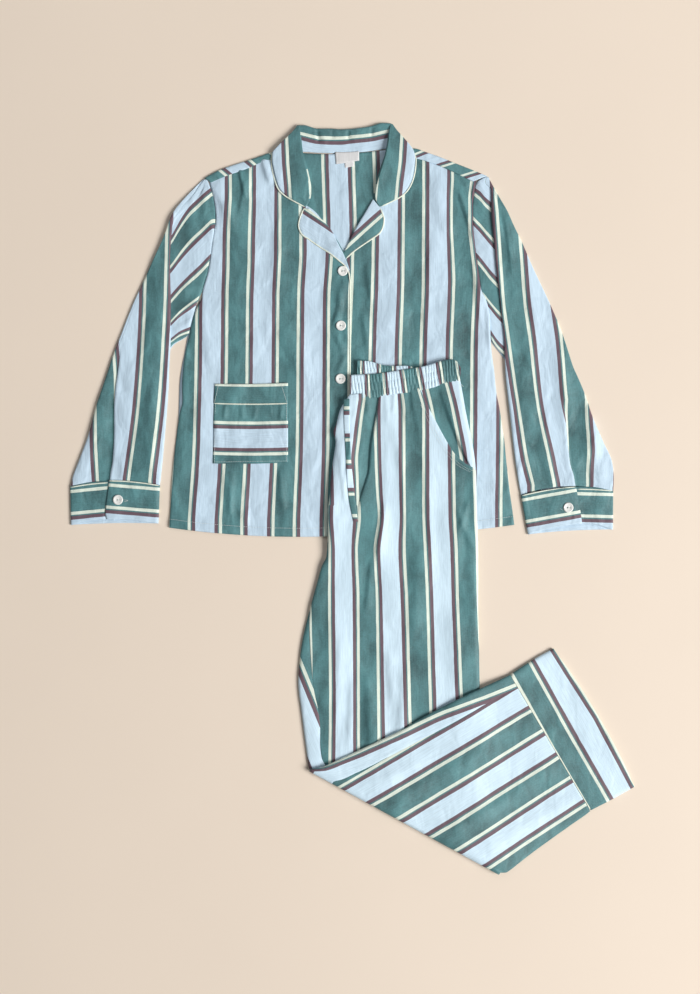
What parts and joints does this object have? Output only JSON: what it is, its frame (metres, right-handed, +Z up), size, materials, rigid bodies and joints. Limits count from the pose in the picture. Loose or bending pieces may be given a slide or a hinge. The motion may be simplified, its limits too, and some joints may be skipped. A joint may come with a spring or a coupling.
{
  "type": "pyjama set",
  "caption": "Long-sleeved notch-collared pyjama jacket and elastic-waisted trousers in striped cotton, laid flat with one trouser leg turned up.",
  "frame": {"origin": "middle of the outline at the surface it lies on", "axes": "+Z up from the surface, +Y along the jacket from its hem to its collar, the wearer's left at +X; the trousers lie over the jacket's lower right as it is seen"},
  "size_m": [0.8731, 1.1615, 0.0137],
  "materials": {
    "striped_cotton": "matt woven cotton with pale blue, muted green, burgundy and cream stripes along the grain",
    "button": "satin white resin",
    "label": "plain white satin tape, bare"
  },
  "bodies": {
    "root": {"jacket_back": "striped_cotton", "jacket_front_right": "striped_cotton", "jacket_front_left": "striped_cotton", "lapel_right": "striped_cotton", "lapel_left": "striped_cotton", "collar": "striped_cotton", "sleeve_right": "striped_cotton", "sleeve_left": "striped_cotton", "cuff_right": "striped_cotton", "cuff_left": "striped_cotton", "chest_pocket": "striped_cotton", "pocket_band": "striped_cotton", "front_button_1": "button", "front_button_2": "button", "front_button_3": "button", "front_button_4": "button", "front_button_5": "button", "cuff_button_right": "button", "cuff_button_left": "button", "neck_label": "label", "trousers_hidden_layers": "striped_cotton", "trouser_leg_front": "striped_cotton", "trouser_leg_back": "striped_cotton", "trouser_side_panel": "striped_cotton", "trouser_fly_strip": "striped_cotton", "waistband_near": "striped_cotton", "waistband_far": "striped_cotton", "turned_up_leg_back": "striped_cotton", "turned_up_leg_front": "striped_cotton", "leg_hem_band": "striped_cotton"}
  },
  "joints": []
}
